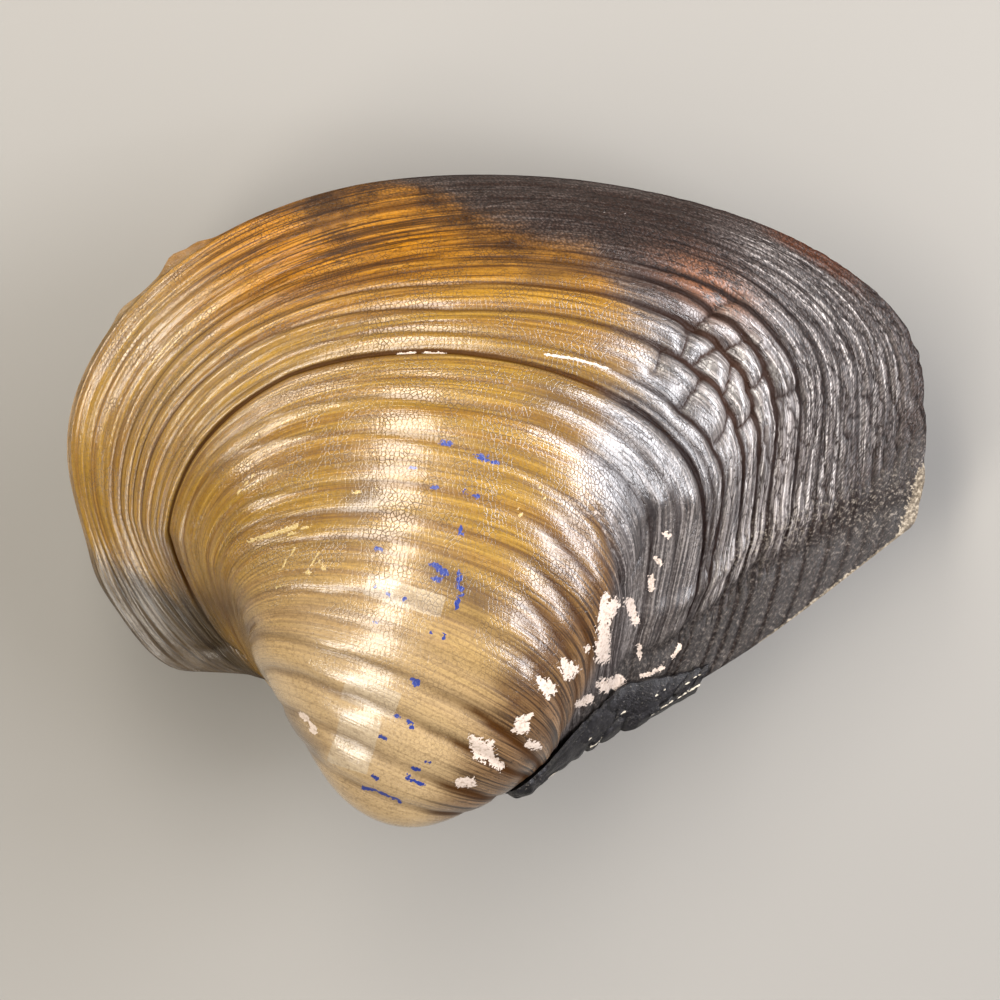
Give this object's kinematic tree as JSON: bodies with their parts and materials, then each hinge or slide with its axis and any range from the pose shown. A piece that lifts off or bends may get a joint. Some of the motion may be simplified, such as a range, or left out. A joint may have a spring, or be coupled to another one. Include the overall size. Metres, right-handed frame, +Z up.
{
  "type": "river mussel shell",
  "caption": "Closed swollen freshwater mussel shell lying on one valve, with growth ridges, worn beaks and a horny ligament along the hinge.",
  "frame": {"origin": "on the ground, below the middle of the shell's bounding box as it lies on its left valve", "axes": "+X along the length towards the posterior end, +Y towards the ventral edge, +Z up, out of the right valve"},
  "size_m": [0.0896, 0.0682, 0.0413],
  "materials": {
    "right_valve": "gloss",
    "left_valve": "gloss",
    "ligament": "satin"
  },
  "bodies": {
    "root": {"right_valve": "right_valve", "left_valve": "left_valve", "ligament": "ligament"}
  },
  "joints": []
}
